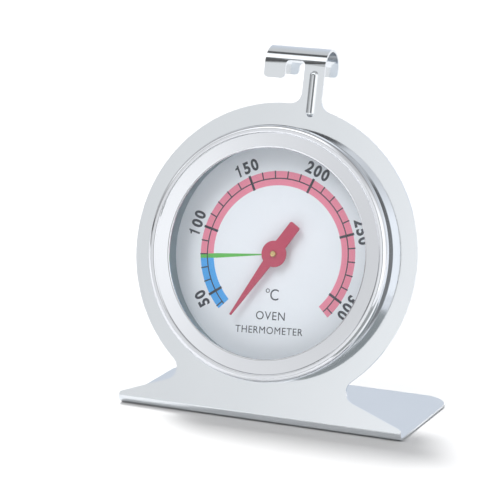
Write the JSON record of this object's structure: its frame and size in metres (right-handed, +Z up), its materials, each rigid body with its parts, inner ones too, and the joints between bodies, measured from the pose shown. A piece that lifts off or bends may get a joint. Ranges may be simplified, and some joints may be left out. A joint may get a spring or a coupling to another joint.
{
  "type": "oven thermometer",
  "caption": "Round dial oven thermometer with a bimetal movement, on a pressed steel stand with a rolled shelf hook.",
  "frame": {"origin": "middle of the foot's underside, on the surface that it stands on", "axes": "+Z up, -Y towards the reader of the dial, +X to the reader's right"},
  "size_m": [0.0728, 0.0403, 0.0866],
  "materials": {
    "satin_steel": "satin",
    "drawn_steel": "drawn",
    "polished_steel": "polished",
    "window_glass": "clear",
    "gasket": "matte",
    "spacer_metal": "satin",
    "dial_enamel": "satin",
    "works_steel": "plated",
    "bearing_brass": "turned",
    "bimetal": "rolled",
    "pointer_red": "satin"
  },
  "bodies": {
    "root": {"stand_bracket": "satin_steel", "case_shell": "drawn_steel", "retaining_ring": "drawn_steel", "rear_cover": "drawn_steel", "bezel_ring": "polished_steel", "lens_glass": "window_glass", "lens_gasket": "gasket", "spacer_ring": "spacer_metal", "dial_plate": "dial_enamel", "movement_plate": "works_steel", "front_bearing": "bearing_brass", "rear_bearing": "bearing_brass", "bridge_strap": "works_steel", "bridge_rivets": "works_steel", "coil_anchor": "works_steel", "bimetal_coil": "bimetal"},
    "turning": {"pointer": "pointer_red", "pointer_boss": "bearing_brass", "spindle": "bearing_brass", "coil_collet": "bearing_brass", "spacer_washer": "bearing_brass", "spindle_clip": "works_steel"}
  },
  "joints": [
    {"name": "pointer_turn", "type": "hinge", "parent": "root", "child": "turning", "pos_m": [0, -0.00906, 0.03923], "axis": [0, 0.9711, -0.2385], "range_deg": [-25, 277], "stiffness_Nm_per_rad": 0.0009, "deforming": ["bimetal_coil"]}
  ]
}
